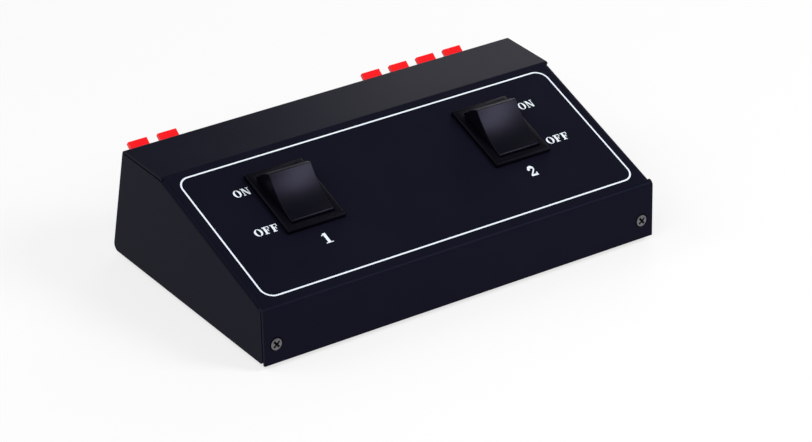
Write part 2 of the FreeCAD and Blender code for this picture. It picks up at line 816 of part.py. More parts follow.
def terminals():
    """Each terminal's colour, number, place across the back and pivot height."""
    xs = column_xs(input_middle_x, input_columns) + column_xs(output_middle_x, output_columns)
    for number, x in enumerate(xs, 1):
        yield "red", number, x, upper_pivot_height
        yield "black", number, x, lower_pivot_height


def main():
    os.makedirs("parts", exist_ok=True)
    save("top_cover", [top_cover()])
    save("base_plate", [base_plate()])
    save("case_screws", [faced(case_screw(), place) for place in screw_places()])
    foot_x = case_width / 2 - foot_inset
    foot_y = case_depth / 2 - foot_inset
    spots = [Vector(x, y, 0) for x in (-foot_x, foot_x) for y in (-foot_y, foot_y)]
    save("rubber_feet", [Part.makeCylinder(foot_radius, foot_height, spot) for spot in spots])
    off = pivot_frame(rocker_throw / 2)
    for number, side in ((1, -1), (2, 1)):
        frame = switch_frame(side)
        suffix = "_" + str(number)
        save("switch_housing" + suffix, [placed(switch_housing(), frame)])
        save("switch_terminals" + suffix, [placed(solid, frame) for solid in switch_terminals()])
        save("contact_seesaws" + suffix, [placed(solid, frame) for solid in contact_seesaws()])
        save("rocker" + suffix, [placed(rocker(), frame * off)])
        save("plungers" + suffix, [placed(plunger(pole), frame * off) for pole in poles()])
        save("plunger_springs" + suffix, [placed(plunger_spring(pole), frame * off) for pole in poles()])
    save("input_terminal_block", [terminal_block(input_middle_x, input_columns)])
    save("output_terminal_block", [terminal_block(output_middle_x, output_columns)])
    strips = {"input": [], "output": []}
    for colour, number, x, height in terminals():
        save("lever_" + colour + "_" + str(number), [lever_at(x, height)])
        save("clip_spring_" + colour + "_" + str(number), [clip_spring_at(x, height)])
        bank = "input" if number <= input_columns else "output"
        strips[bank].append(contact_strip_at(x, height))
    save("input_contact_strips", strips["input"])
    save("output_contact_strips", strips["output"])
    save("block_rivets", block_rivets())
    save("wires_red", red_wires())
    save("wires_black", black_wires())


main()
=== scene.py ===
import json
import math

import bmesh
import bpy
import numpy as np
from mathutils import Matrix, Vector

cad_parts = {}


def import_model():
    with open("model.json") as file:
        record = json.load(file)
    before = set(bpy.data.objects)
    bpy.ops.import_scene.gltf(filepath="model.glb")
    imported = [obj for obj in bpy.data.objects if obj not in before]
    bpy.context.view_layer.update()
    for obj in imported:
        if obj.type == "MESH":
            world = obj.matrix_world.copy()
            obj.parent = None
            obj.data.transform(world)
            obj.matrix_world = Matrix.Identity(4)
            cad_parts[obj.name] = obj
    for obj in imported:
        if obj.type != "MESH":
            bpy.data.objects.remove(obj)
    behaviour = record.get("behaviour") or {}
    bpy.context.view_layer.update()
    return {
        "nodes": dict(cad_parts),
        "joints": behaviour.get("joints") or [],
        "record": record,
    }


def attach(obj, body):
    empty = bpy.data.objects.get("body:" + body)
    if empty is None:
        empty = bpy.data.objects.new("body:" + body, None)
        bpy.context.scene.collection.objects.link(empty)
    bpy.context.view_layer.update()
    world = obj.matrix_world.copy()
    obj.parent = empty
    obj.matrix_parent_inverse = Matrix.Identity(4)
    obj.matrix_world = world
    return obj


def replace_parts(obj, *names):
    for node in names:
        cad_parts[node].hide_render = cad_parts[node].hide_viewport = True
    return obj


# Looks of a sloping steel console with two rocker switches and spring clip terminals.
# Metres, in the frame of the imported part: X to the right, Y to the back, Z up.

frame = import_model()

MM = 0.001
IMAGE_WIDTH = 812

# The case, as the part's source has it
CASE_DEPTH = 103.0 * MM
REAR_HEIGHT = 45.0 * MM
FRONT_HEIGHT = 22.0 * MM
FRONT_LEAN = 1.4 * MM
REAR_LEAN = 8.3 * MM
STRIP_DEPTH = 26.0 * MM
FOOT_HEIGHT = 2.0 * MM

# Printed legend on the slope
BORDER_LEFT = -83.2 * MM
BORDER_RIGHT = 82.7 * MM
BORDER_LOW = 4.4 * MM
BORDER_HIGH = 67.8 * MM
BORDER_RADIUS = 4.8 * MM
BORDER_LINE = 0.64 * MM
PRINT_THICKNESS = 0.04 * MM
PRINT_LIFT = 0.01 * MM
WORD_HEIGHT = 3.5 * MM
NUMBER_HEIGHT = 4.9 * MM
ON_LEVEL = 51.6 * MM
OFF_LEVEL = 31.8 * MM
ON_LEFTS = (-66.9 * MM, 61.7 * MM)
OFF_LEFTS = (-70.1 * MM, 61.1 * MM)
NUMBER_LEFTS = (-48.0 * MM, 44.7 * MM)
NUMBER_LEVELS = (19.6 * MM, 19.9 * MM)
ON_STRETCH = 1.05
OFF_STRETCH = 1.12
LETTER_GAP = 0.12
STROKE_STEP = 0.003 * MM

# Small radius at which a turned profile closes on its axis
AXIS_RADIUS = 0.05 * MM

# Case screws: places across a panel, and their height up it
FRONT_SCREWS = (-82.3 * MM, 82.3 * MM)
REAR_SCREWS = (-38.65 * MM, 7.6 * MM)
SCREW_RISE = 7.4 * MM
SCREW_HEAD_RADIUS = 2.6 * MM
SCREW_DOME = 0.3 * MM
SCREW_RADIUS = 1.45 * MM
SCREW_CONE = 1.0 * MM
SCREW_LENGTH = 6.0 * MM
SCREW_RIM = 2.3 * MM
SCREW_RIM_DROP = 0.35 * MM
SCREW_RINGS = 19
SCREW_COLUMNS = 96
CROSS_REACH = 1.65 * MM
CROSS_HALF_WIDTH = 0.4 * MM
CROSS_DEPTH = 1.3 * MM
CROSS_WALL = 0.12 * MM
CROSS_TAPER = 0.4
CROSS_TURN = math.radians(40.0)

# Rivets of the terminal blocks
RIVETS = (-83.25 * MM, -52.95 * MM, 21.9 * MM, 77.9 * MM)
RIVET_RISE = 21.9 * MM
RIVET_HEAD_RADIUS = 2.2 * MM
RIVET_HEAD_HEIGHT = 0.9 * MM
RIVET_RADIUS = 1.5 * MM
RIVET_DIMPLE = 0.7 * MM
RIVET_DIMPLE_FLOOR = 0.5 * MM
RIVET_DIMPLE_LEVEL = 0.405 * MM
RIVET_COLUMNS = 40
BLOCK_FLANGE = 2.0 * MM
SHEET = 1.0 * MM

# Feet
FOOT_RADIUS = 4.5 * MM
FOOT_X = 74.0 * MM
FOOT_Y = 38.0 * MM
FOOT_ROUND = 0.6 * MM
FOOT_HOLLOW_RADIUS = 2.2 * MM
FOOT_HOLLOW_FLOOR = 1.6 * MM
FOOT_HOLLOW_DEPTH = 0.5 * MM
FOOT_COLUMNS = 48

# Springs behind the plungers, in a rocker's own frame
POLE_X = 4.6 * MM
SPRING_LOW = -3.4 * MM
SPRING_HIGH = 2.0 * MM
SPRING_TURNS = 7.0
SPRING_RADIUS = 1.24 * MM
SPRING_WIRE = 0.2 * MM
SPRING_STEPS = 112
SPRING_SIDES = 8

# Rockers, about their pivots
ROCKER_HALF_WIDTH = 9.2 * MM
ROCKER_RADIUS = 12.4 * MM
ROCKER_TIP_ANGLE = math.radians(51.5)
ROCKER_SKIRT_ANGLE = math.radians(104.0)
ROCKER_DISH = 1.4 * MM
ROCKER_TIP_ROUND = 0.6 * MM
ROCKER_EDGE_ROUND = 0.3 * MM
ROCKER_REST_TURN = math.radians(20.5)

# Eased edges of the moulded pieces
HOUSING_EASE = 0.14 * MM
BLOCK_EASE = 0.15 * MM
LEVER_EASE = 0.16 * MM

# Degrees past which an edge of a new piece stays hard
SMOOTH_LIMIT = 35.0
ROCKER_SMOOTH_LIMIT = 50.0

# Studio: strength of the even room, share of plain white in the floor as it is seen, and half its side
ROOM_LIGHT = 0.26
FLOOR_WHITE = 0.7
FLOOR_REACH = 6.0

# Camera, fitted to the corners of the case in the photograph
CAMERA_AZIMUTH = math.radians(-35.915)
CAMERA_ELEVATION = math.radians(28.676)
CAMERA_ROLL = math.radians(1.223)
CAMERA_TARGET = Vector((-5.522, -21.045, 22.0)) * MM
CAMERA_DISTANCE = 1241.88 * MM
FOCAL_PIXELS = 3375.6
SENSOR_WIDTH = 36.0

front_top = np.array([0, FRONT_LEAN - CASE_DEPTH / 2, FOOT_HEIGHT + FRONT_HEIGHT])
strip_start = np.array([0, CASE_DEPTH / 2 - REAR_LEAN - STRIP_DEPTH, FOOT_HEIGHT + REAR_HEIGHT])
SLOPE_ANGLE = math.atan2(strip_start[2] - front_top[2], strip_start[1] - front_top[1])
SLOPE = np.array([[1, 0, 0],
                  [0, math.cos(SLOPE_ANGLE), math.sin(SLOPE_ANGLE)],
                  [0, -math.sin(SLOPE_ANGLE), math.cos(SLOPE_ANGLE)]])


def leaning_panel(lean, height, outward):
    """Axes across, up and out of a panel that leans inwards by some depth over its height."""
    long = math.hypot(lean, height)
    up = np.array([0, -outward * lean, height]) / long
    out = np.array([0, outward * height, lean]) / long
    return np.array([np.cross(up, out), up, out])


FRONT_PANEL = leaning_panel(FRONT_LEAN, FRONT_HEIGHT, -1)
REAR_PANEL = leaning_panel(REAR_LEAN, REAR_HEIGHT, 1)
front_foot = np.array([0, -CASE_DEPTH / 2, FOOT_HEIGHT])
rear_foot = np.array([0, CASE_DEPTH / 2, FOOT_HEIGHT])


def on_slope(points):
    """Points given across, up and off the slope, carried to the part's frame by its three axes."""
    return np.asarray(points) @ SLOPE + front_top


def turned_about_x(points, angle):
    """Points turned by an angle about the X axis: Y and Z mix by its sine and cosine."""
    x, y, z = np.moveaxis(np.asarray(points, float), -1, 0)
    return np.stack([x, y * math.cos(angle) - z * math.sin(angle),
                     y * math.sin(angle) + z * math.cos(angle)], axis=-1)


# Meshes

def grid_faces(rows, columns, wrap_rows=False, wrap_columns=False):
    """Quads between neighbours of a grid, numbered row by row, joined end to end where it wraps."""
    index = np.arange(rows * columns).reshape(rows, columns)
    if wrap_rows:
        index = np.vstack([index, index[:1]])
    if wrap_columns:
        index = np.hstack([index, index[:, :1]])
    corners = [index[:-1, :-1], index[:-1, 1:], index[1:, 1:], index[1:, :-1]]
    return np.stack(corners, axis=-1).reshape(-1, 4)


def tube(points, clockwise=False):
    """Closed tube of rows of points: quads between neighbour rows and a flat polygon at either end.

    Its faces point outward where each row runs anticlockwise about the way ahead, and are turned round
    where it runs clockwise.
    """
    rows, columns = points.shape[:2]
    last = (rows - 1) * columns
    quads = grid_faces(rows, columns, wrap_columns=True)
    loops = [list(reversed(range(columns))), [last + i for i in range(columns)]]
    if clockwise:
        quads = quads[:, ::-1]
        loops = [loop[::-1] for loop in loops]
    return points, quads, loops


def put_mesh(name, surfaces, body, material, sharp=SMOOTH_LIMIT):
    """One object from several (points, faces, end loops) surfaces, smooth but at edges past an angle."""
    points = []
    faces = []
    start = 0
    for grid, quads, loops in surfaces:
        flat = grid.reshape(-1, 3)
        points.append(flat)
        faces += (quads + start).tolist()
        faces += [[start + i for i in loop] for loop in loops]
        start += len(flat)
    mesh = bpy.data.meshes.new(name)
    mesh.from_pydata(np.vstack(points).tolist(), [], faces)
    mesh.validate()
    mesh.update()
    mesh.shade_smooth()
    mesh.set_sharp_from_angle(angle=math.radians(sharp))
    piece = bpy.data.objects.new(name, mesh)
    bpy.context.scene.collection.objects.link(piece)
    piece.data.materials.append(material)
    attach(piece, body)
    return piece


def arc(centre, radius, start, end, count):
    """Points on a circle at even steps from one angle to another, as (across, up) pairs."""
    angle = np.linspace(start, end, count)
    return np.asarray(centre) + radius * np.stack([np.cos(angle), np.sin(angle)], axis=-1)


def loop_normals(loop):
    """Outward normals of an anticlockwise loop: the chord of both neighbours, turned a quarter."""
    chord = np.roll(loop, -1, axis=0) - np.roll(loop, 1, axis=0)
    normal = np.stack([chord[:, 1], -chord[:, 0]], axis=-1)
    return normal / np.linalg.norm(normal, axis=1, keepdims=True)


def moulding(loop, half_width, rounding, steps=5):
    """Closed side outline carried along X.

    Near both ends the outline draws in along its normals by rounding * (1 - cos t) while X gains
    rounding * sin t, a quarter circle, and a flat polygon closes each end.
    """
    turn = np.linspace(0, math.pi / 2, steps)
    inset = rounding * (1 - np.cos(turn))
    gain = rounding * (np.sin(turn) - 1)
    insets = np.concatenate([inset[::-1], inset])
    half = np.broadcast_to(half_width, len(loop))
    sides = np.concatenate([-np.ones(steps), np.ones(steps)])
    gains = np.concatenate([gain[::-1], gain])
    x = sides[:, None] * (half[None, :] + gains[:, None])
    yz = loop[None] - loop_normals(loop)[None] * insets[:, None, None]
    return tube(np.concatenate([x[..., None], yz], axis=-1))


def lathe(profile, columns):
    """Profile of (radius, height) pairs turned about its axis: across = r cos t, up = r sin t, out = height.

    The profile starts at its upper end, and both its ends close in a flat polygon.
    """
    radius, height = np.moveaxis(np.asarray(profile, float), -1, 0)
    turn = np.arange(columns) * 2 * math.pi / columns
    points = np.stack([radius[:, None] * np.cos(turn), radius[:, None] * np.sin(turn),
                       np.broadcast_to(height[:, None], (len(radius), columns))], axis=-1)
    return tube(points, clockwise=True)


def softened(node, body, slot, width):
    """A moulded piece with its edges eased: a merged copy of its solid with a bevel at each hard edge."""
    work = bmesh.new()
    work.from_mesh(frame["nodes"][node].data)
    bmesh.ops.remove_doubles(work, verts=work.verts, dist=0.001 * MM)
    bmesh.ops.dissolve_limit(work, angle_limit=math.radians(0.4), verts=work.verts, edges=work.edges)
    mesh = bpy.data.meshes.new(node + "_eased")
    work.to_mesh(mesh)
    work.free()
    mesh.materials.clear()
    mesh.materials.append(finishes[slot])
    mesh.shade_smooth()
    piece = bpy.data.objects.new(node + "_eased", mesh)
    bpy.context.scene.collection.objects.link(piece)
    bevel = piece.modifiers.new("eased_edges", "BEVEL")
    bevel.width = width
    bevel.segments = 2
    bevel.limit_method = "ANGLE"
    bevel.angle_limit = math.radians(32)
    bevel.use_clamp_overlap = False
    bevel.harden_normals = True
    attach(piece, body)
    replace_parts(piece, node)
    return piece


# Materials

class Value:
    """A socket of one material. Arithmetic on it adds Math nodes."""

    def __init__(self, tree, socket):
        self.tree = tree
        self.socket = socket

    def math(self, operation, other, swapped=False):
        node = self.tree.nodes.new("ShaderNodeMath")
        node.operation = operation
        pair = (other, self) if swapped else (self, other)
        for slot, value in zip(node.inputs, pair):
            plug(self.tree, slot, value)
        return Value(self.tree, node.outputs[0])

    def __add__(self, other):
        return self.math("ADD", other)

    def __sub__(self, other):
        return self.math("SUBTRACT", other)

    def __rsub__(self, other):
        return self.math("SUBTRACT", other, swapped=True)

    def __mul__(self, other):
        return self.math("MULTIPLY", other)

    __radd__ = __add__
    __rmul__ = __mul__


def plug(tree, slot, value):
    """Sets a socket to a value, or links it to another."""
    if isinstance(value, Value):
        tree.links.new(value.socket, slot)
    else:
        slot.default_value = value


class Finish:
    """A material with one Principled shader, its constants set on the shader's own sockets."""

    def __init__(self, name, **constants):
        self.material = bpy.data.materials.new(name)
        self.material.use_nodes = True
        self.tree = self.material.node_tree
        self.shader = self.tree.nodes["Principled BSDF"]
        for socket, value in constants.items():
            self.shader.inputs[socket.replace("_", " ")].default_value = value
        self.place = self.node("ShaderNodeTexCoord", output="Object")

    def node(self, kind, settings=None, output=0, **values):
        """Any node: its settings first, then the values or links of its sockets."""
        node = self.tree.nodes.new(kind)
        for name, value in (settings or {}).items():
            setattr(node, name, value)
        for name, value in values.items():
            plug(self.tree, node.inputs[name.replace("_", " ")], value)
        return Value(self.tree, node.outputs[output])

    def noise(self, scale, detail=2.0):
        return self.node("ShaderNodeTexNoise", Vector=self.place, Scale=scale, Detail=detail)

    def blend(self, factor, low, high):
        """Colour between two colours by a factor."""
        node = self.tree.nodes.new("ShaderNodeMix")
        node.data_type = "RGBA"
        plug(self.tree, node.inputs[0], factor)
        node.inputs[6].default_value = (*low, 1)
        node.inputs[7].default_value = (*high, 1)
        return Value(self.tree, node.outputs[2])

    def feed(self, socket, value):
        plug(self.tree, self.shader.inputs[socket], value)

    def bump(self, height, distance, strength=1.0):
        self.feed("Normal", self.node("ShaderNodeBump", output="Normal", Height=height,
                                      Distance=distance, Strength=strength))


def powder_coat():
    """Satin black powder coat: fine orange peel, with slow changes of shade and gloss."""
    coat = Finish("satin_black_powder_coat", Specular_IOR_Level=0.021, Specular_Tint=(0.58, 0.62, 1.0, 1))
    cloud = coat.noise(45.0)
    coat.feed("Base Color", coat.blend(cloud, (0.0050, 0.0052, 0.0118), (0.0068, 0.0072, 0.0150)))
    grain = coat.noise(2600.0, 3.0)
    coat.feed("Roughness", 0.28 + cloud * 0.07 + grain * 0.06)
    coat.bump(grain, 0.02 * MM, 0.5)
    return coat.material


def switch_plastic(name, shade, gloss, sheen=0.14):
    """Moulded black plastic with a fine spark eroded grain."""
    plastic = Finish(name, Specular_IOR_Level=sheen, Specular_Tint=(0.66, 0.64, 1.0, 1))
    grain = plastic.noise(3200.0, 2.0)
    cloud = plastic.noise(120.0)
    low = (shade * 0.9, shade * 0.9, shade * 1.9)
    high = (shade * 1.2, shade * 1.2, shade * 2.4)
    plastic.feed("Base Color", plastic.blend(cloud, low, high))
    plastic.feed("Roughness", gloss + grain * 0.12)
    plastic.bump(grain, 0.015 * MM, 0.6)
    return plastic.material


def coloured_plastic(name, low, high, gloss):
    """Glossy moulded plastic with a faint flow cloud."""
    plastic = Finish(name, Specular_IOR_Level=0.2)
    cloud = plastic.noise(260.0, 3.0)
    plastic.feed("Base Color", plastic.blend(cloud, low, high))
    plastic.feed("Roughness", gloss + cloud * 0.08)
    plastic.bump(plastic.noise(1800.0), 0.01 * MM, 0.4)
    return plastic.material


def metal(name, low, high, gloss):
    """Plated or rolled metal with fine drawn lines along X."""
    plate = Finish(name, Metallic=1.0)
    lines = plate.node("ShaderNodeMapping", Vector=plate.place, Scale=(0.12, 1.0, 1.0))
    streak = plate.node("ShaderNodeTexNoise", Vector=lines, Scale=900.0, Detail=3.0)
    plate.feed("Base Color", plate.blend(streak, low, high))
    plate.feed("Roughness", gloss + streak * 0.16)
    plate.bump(streak, 0.01 * MM, 0.3)
    return plate.material


def screw_metal():
    """Zinc plated steel with painted shade in the cross recess and down the rim, where the painted light
    falls to nothing.
    """
    plate = Finish("zinc_screw_steel", Metallic=1.0)
    painted_light = plate.node("ShaderNodeAttribute", {"attribute_name": "painted_light"}, output="Fac")
    grain = plate.noise(1500.0, 2.0)
    # Painted shade: the base colour falls almost to black where the painted light attribute is 0, in the
    # recess and below the rim.
    sheen = painted_light * (0.8 + grain * 0.4)
    plate.feed("Base Color", plate.blend(sheen, (0.004, 0.004, 0.005), (0.17, 0.17, 0.18)))
    plate.feed("Roughness", 0.62 - painted_light * 0.25 + grain * 0.06)
    plate.bump(grain, 0.01 * MM, 0.3)
    return plate.material


def matt_rubber(name, low, high):
    """Dull rubber with a fine pitted skin."""
    rubber = Finish(name, Specular_IOR_Level=0.25)
    pits = rubber.noise(1500.0, 3.0)
    rubber.feed("Base Color", rubber.blend(pits, low, high))
    rubber.feed("Roughness", 0.7 + pits * 0.2)
    rubber.bump(pits, 0.03 * MM, 0.6)
    return rubber.material


def legend_ink():
    """White screen print with a slightly uneven film."""
    ink = Finish("white_legend_ink", Specular_IOR_Level=0.3)
    film = ink.noise(1400.0, 2.0)
    ink.feed("Base Color", ink.blend(film, (0.80, 0.87, 0.95), (0.88, 0.94, 1.0)))
    ink.feed("Roughness", 0.5 + film * 0.15)
    ink.bump(film, 0.01 * MM, 0.3)
    return ink.material


finishes = {
    "satin_black_paint": powder_coat(),
    "screw_steel": screw_metal(),
    "black_rubber": matt_rubber("black_foot_rubber", (0.010, 0.010, 0.010), (0.022, 0.022, 0.022)),
    "switch_black_plastic": switch_plastic("black_switch_plastic", 0.0018, 0.27),
    "tinned_brass": metal("tinned_brass", (0.55, 0.53, 0.48), (0.72, 0.70, 0.65), 0.28),
    "contact_brass": metal("bare_contact_brass", (0.60, 0.42, 0.17), (0.72, 0.52, 0.24), 0.26),
    "plunger_white_plastic": coloured_plastic("white_plunger_plastic", (0.72, 0.72, 0.69), (0.80, 0.80, 0.77),
                                              0.4),
    "spring_steel": metal("bright_spring_steel", (0.42, 0.42, 0.44), (0.58, 0.58, 0.60), 0.25),
    "block_black_plastic": switch_plastic("black_block_plastic", 0.006, 0.42),
    "lever_red_plastic": coloured_plastic("red_lever_plastic", (0.94, 0.006, 0.010), (1.0, 0.009, 0.014),
                                          0.32),
    "lever_black_plastic": coloured_plastic("black_lever_plastic", (0.010, 0.010, 0.012),
                                            (0.016, 0.016, 0.018), 0.3),
    "rivet_aluminium": metal("rivet_aluminium", (0.60, 0.60, 0.62), (0.74, 0.74, 0.76), 0.3),
    "wire_red_sleeve": matt_rubber("red_wire_sleeve", (0.45, 0.012, 0.010), (0.56, 0.016, 0.012)),
    "wire_black_sleeve": matt_rubber("black_wire_sleeve", (0.010, 0.010, 0.010), (0.018, 0.018, 0.018)),
}
bezel_plastic = switch_plastic("black_bezel_plastic", 0.0016, 0.34, sheen=0.06)
ink = legend_ink()

for subpart in frame["record"]["subparts"]:
    node = frame["nodes"][subpart["node"]]
    node.data.materials.clear()
    node.data.materials.append(finishes[subpart["material_slot"]])


# Printed legend. A glyph is a list of strokes and its width, in parts of its height. A stroke is its
# left and right edge, or a path with its half widths.

def film(path, half_widths, level=0.0):
    """Flat ribbon of ink: each point of a path steps out to both sides of its own direction.

    The ribbon's upper and lower faces are the same strip at two heights, and the strip's four edges
    run round as a closed band.
    """
    path = np.asarray(path, float)
    heading = np.gradient(path, axis=0)
    heading /= np.linalg.norm(heading, axis=1, keepdims=True)
    across = np.stack([-heading[:, 1], heading[:, 0]], axis=-1)
    widths = np.broadcast_to(half_widths, len(path))[:, None]
    return closed_strip(path + across * widths, path - across * widths, level)


def closed_strip(left, right, level=0.0):
    """Thin solid between two edges in the slope's plane, as thick as the ink and a level above it.

    The first edge runs on the left of the way ahead. Edges that end where they start make a ring.
    """
    low = PRINT_LIFT
    high = PRINT_LIFT + PRINT_THICKNESS + level
    rows = []
    for edge, height in ((left, low), (right, low), (right, high), (left, high)):
        rows.append(np.column_stack([edge, np.full(len(edge), height)]))
    points = on_slope(np.stack(rows, axis=1))
    if np.allclose(left[0], left[-1]):
        return points[:-1], grid_faces(len(left) - 1, 4, wrap_rows=True, wrap_columns=True)[:, ::-1], []
    return tube(points, clockwise=True)


def bar(low_x, high_x, low_y, high_y):
    """Rectangle of ink between its upper and its lower edge, both from left to right."""
    upper = np.array([[low_x, high_y], [high_x, high_y]])
    lower = np.array([[low_x, low_y], [high_x, low_y]])
    return upper, lower


def letter_o():
    """Ring between a full ellipse and a narrower one, so that its sides are heavy and its ends light."""
    turn = np.linspace(0, 2 * math.pi, 41)
    ring = np.stack([np.cos(turn), np.sin(turn)], axis=-1)
    outer = np.array([0.42, 0.5]) + ring * np.array([0.42, 0.5])
    inner = np.array([0.42, 0.5]) + ring * np.array([0.20, 0.44])
    return [(inner, outer)], 0.84


def letter_n():
    """Two light stems joined by a heavy diagonal, with flat serifs."""
    diagonal = (np.array([[0.30, 1.0], [0.78, 0.0]]), np.array([[0.04, 1.0], [0.62, 0.0]]))
    return [diagonal, bar(0.10, 0.18, 0.0, 1.0), bar(0.70, 0.78, 0.0, 1.0), bar(0.0, 0.30, 0.94, 1.0),
            bar(0.0, 0.28, 0.0, 0.06), bar(0.60, 0.90, 0.94, 1.0)], 0.90


def letter_f():
    """Heavy stem with a light arm, a short bar and flat serifs."""
    return [bar(0.10, 0.33, 0.0, 1.0), bar(0.0, 0.70, 0.92, 1.0), bar(0.0, 0.44, 0.0, 0.07),
            bar(0.33, 0.52, 0.47, 0.55), bar(0.62, 0.70, 0.66, 0.92), bar(0.46, 0.53, 0.33, 0.69)], 0.74


def figure_1():
    """Heavy stem with a flag and a flat foot."""
    flag = (np.array([[0.05, 0.84], [0.26, 1.0]]), np.array([[0.05, 0.78], [0.26, 0.86]]))
    return [bar(0.22, 0.46, 0.0, 1.0), flag, bar(0.04, 0.64, 0.0, 0.07)], 0.66


def figure_2():
    """Bowl that swells to the right, a tapering stroke down to the left, and a heavy foot."""
    turn = np.radians(np.linspace(165, -35, 28))
    bowl = np.stack([0.33 + 0.23 * np.cos(turn), 0.71 + 0.21 * np.sin(turn)], axis=-1)
    tail = np.linspace(bowl[-1], [0.07, 0.10], 10)[1:]
    path = np.vstack([bowl, tail])
    share = np.linspace(0, 1, len(path))
    weight = 0.055 + 0.085 * np.sin(math.pi * np.clip(share * 1.5, 0, 1)) ** 2
    ball = 0.11 * np.sqrt(np.clip(1 - np.linspace(-1, 1, 9) ** 2, 0, 1))
    knob = np.stack([np.full(9, 0.14), np.linspace(0.60, 0.82, 9)], axis=-1)
    base = [bar(0.03, 0.64, 0.0, 0.17), bar(0.56, 0.64, 0.17, 0.32)]
    return [(path, weight), (knob, ball + 0.001), *base], 0.68


def lettering(glyphs, left, low, height, stretch=1.0):
    """Surfaces of a row of glyphs that starts at a place on the slope.

    Each stroke of a glyph ends a small step above the last, so that no two share a plane.
    """
    surfaces = []
    pen = left
    for strokes, width in glyphs:
        scale = np.array([height * stretch, height])
        place = np.array([pen, low])
        for number, (first, second) in enumerate(strokes):
            level = STROKE_STEP * number
            if np.ndim(second) == 1:
                surfaces.append(film(np.asarray(first) * scale + place, np.asarray(second) * height, level))
            else:
                surfaces.append(closed_strip(np.asarray(first) * scale + place,
                                             np.asarray(second) * scale + place, level))
        pen += (width + LETTER_GAP) * height * stretch
    return surfaces


def border():
    """Rounded rectangle of ink round the slope, from one closed path and its offset."""
    inset = BORDER_RADIUS + BORDER_LINE / 2
    left, right = BORDER_LEFT + inset, BORDER_RIGHT - inset
    low, high = BORDER_LOW + inset, BORDER_HIGH - inset
    quarter = math.pi / 2
    edges = []
    for offset in (BORDER_LINE / 2, -BORDER_LINE / 2):
        size = BORDER_RADIUS + offset
        corners = [arc((right, low), size, -quarter, 0, 12),
                   arc((right, high), size, 0, quarter, 12),
                   arc((left, high), size, quarter, 2 * quarter, 12),
                   arc((left, low), size, 2 * quarter, 3 * quarter, 12)]
        edge = np.vstack(corners)
        edges.append(np.vstack([edge, edge[:1]]))
    return closed_strip(edges[1], edges[0])


word_on = [letter_o(), letter_n()]
word_off = [letter_o(), letter_f(), letter_f()]
legend = [("legend_border", [border()])]
for number, on_left, off_left in zip((1, 2), ON_LEFTS, OFF_LEFTS):
    on = lettering(word_on, on_left, ON_LEVEL, WORD_HEIGHT, ON_STRETCH)
    off = lettering(word_off, off_left, OFF_LEVEL, WORD_HEIGHT, OFF_STRETCH)
    legend += [("legend_on_%d" % number, on), ("legend_off_%d" % number, off)]
for number, figure, left, level in zip((1, 2), (figure_1(), figure_2()), NUMBER_LEFTS, NUMBER_LEVELS):
    legend.append(("legend_number_%d" % number, lettering([figure], left, level, NUMBER_HEIGHT)))
for name, surfaces in legend:
    put_mesh(name, surfaces, "case", ink)


# Rockers

def rocker_loop():
    """Side outline of a rocker: a hollow arc on top, small round tips, and a large arc down to the skirt."""
    tip = np.array([math.sin(ROCKER_TIP_ANGLE), math.cos(ROCKER_TIP_ANGLE)]) * ROCKER_RADIUS
    hollow_radius = (tip[0] ** 2 + ROCKER_DISH ** 2) / (2 * ROCKER_DISH)
    hollow_centre = tip[1] - ROCKER_DISH + hollow_radius
    small = ROCKER_TIP_ROUND
    reach = ROCKER_RADIUS - small
    far = hollow_radius + small
    height = (far ** 2 - reach ** 2 - hollow_centre ** 2) / (-2 * hollow_centre)
    nose = np.array([math.sqrt(reach ** 2 - height ** 2), height])
    leave = math.atan2(nose[1], nose[0])
    touch = math.atan2(hollow_centre - nose[1], -nose[0])
    skirt = math.pi / 2 - ROCKER_SKIRT_ANGLE
    right = np.vstack([arc((0, 0), ROCKER_RADIUS, skirt, leave, 24),
                       arc(nose, small, leave, touch, 8)[1:]])
    half_hollow = math.atan2(nose[0], hollow_centre - nose[1])
    hollow = arc((0, hollow_centre), hollow_radius, half_hollow - math.pi / 2, -math.pi / 2, 16)[1:]
    half = np.vstack([right, hollow])
    left = half[:-1][::-1] * np.array([-1, 1])
    return np.vstack([half, left])


def coil():
    """Round wire along a helix: the axis point is (r cos t, r sin t, rise * t), its section a circle."""
    turn = np.linspace(0, 2 * math.pi * SPRING_TURNS, SPRING_STEPS)
    low = SPRING_LOW + SPRING_WIRE
    rise = (SPRING_HIGH - SPRING_LOW - 2 * SPRING_WIRE) / turn[-1]
    cos, sin, none = np.cos(turn), np.sin(turn), np.zeros_like(turn)
    axis = np.stack([SPRING_RADIUS * cos, SPRING_RADIUS * sin, low + rise * turn], axis=-1)
    away = np.stack([cos, sin, none], axis=-1)
    along = np.stack([-SPRING_RADIUS * sin, SPRING_RADIUS * cos, rise + none], axis=-1)
    along /= np.linalg.norm(along, axis=1, keepdims=True)
    side = np.cross(along, away)
    ring = np.arange(SPRING_SIDES)[:, None] * 2 * math.pi / SPRING_SIDES
    section = away[:, None] * np.cos(ring) + side[:, None] * np.sin(ring)
    return tube(axis[:, None] + SPRING_WIRE * section)


def rocker(number):
    """A rocker and its two springs in their OFF place, turned about the pivot under the bezel's middle."""
    body = "rocker_%d" % number
    joint = next(j for j in frame["joints"] if j["name"] == body + "_tilt")
    pivot = np.array(joint["pos_m"])
    turn = ROCKER_REST_TURN + SLOPE_ANGLE
    points, faces, loops = moulding(rocker_loop(), ROCKER_HALF_WIDTH, ROCKER_EDGE_ROUND)
    cap = put_mesh("rocker_cap_%d" % number, [(turned_about_x(points, turn) + pivot, faces, loops)], body,
                   finishes["switch_black_plastic"], sharp=ROCKER_SMOOTH_LIMIT)
    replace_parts(cap, body)
    points, faces, loops = coil()
    coils = [(turned_about_x(points + np.array([x, 0, 0]), turn) + pivot, faces, loops)
             for x in (-POLE_X, POLE_X)]
    springs = put_mesh("plunger_coils_%d" % number, coils, body, finishes["spring_steel"])
    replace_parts(springs, "plunger_springs_%d" % number)


for number in (1, 2):
    rocker(number)


# Screws, rivets and feet

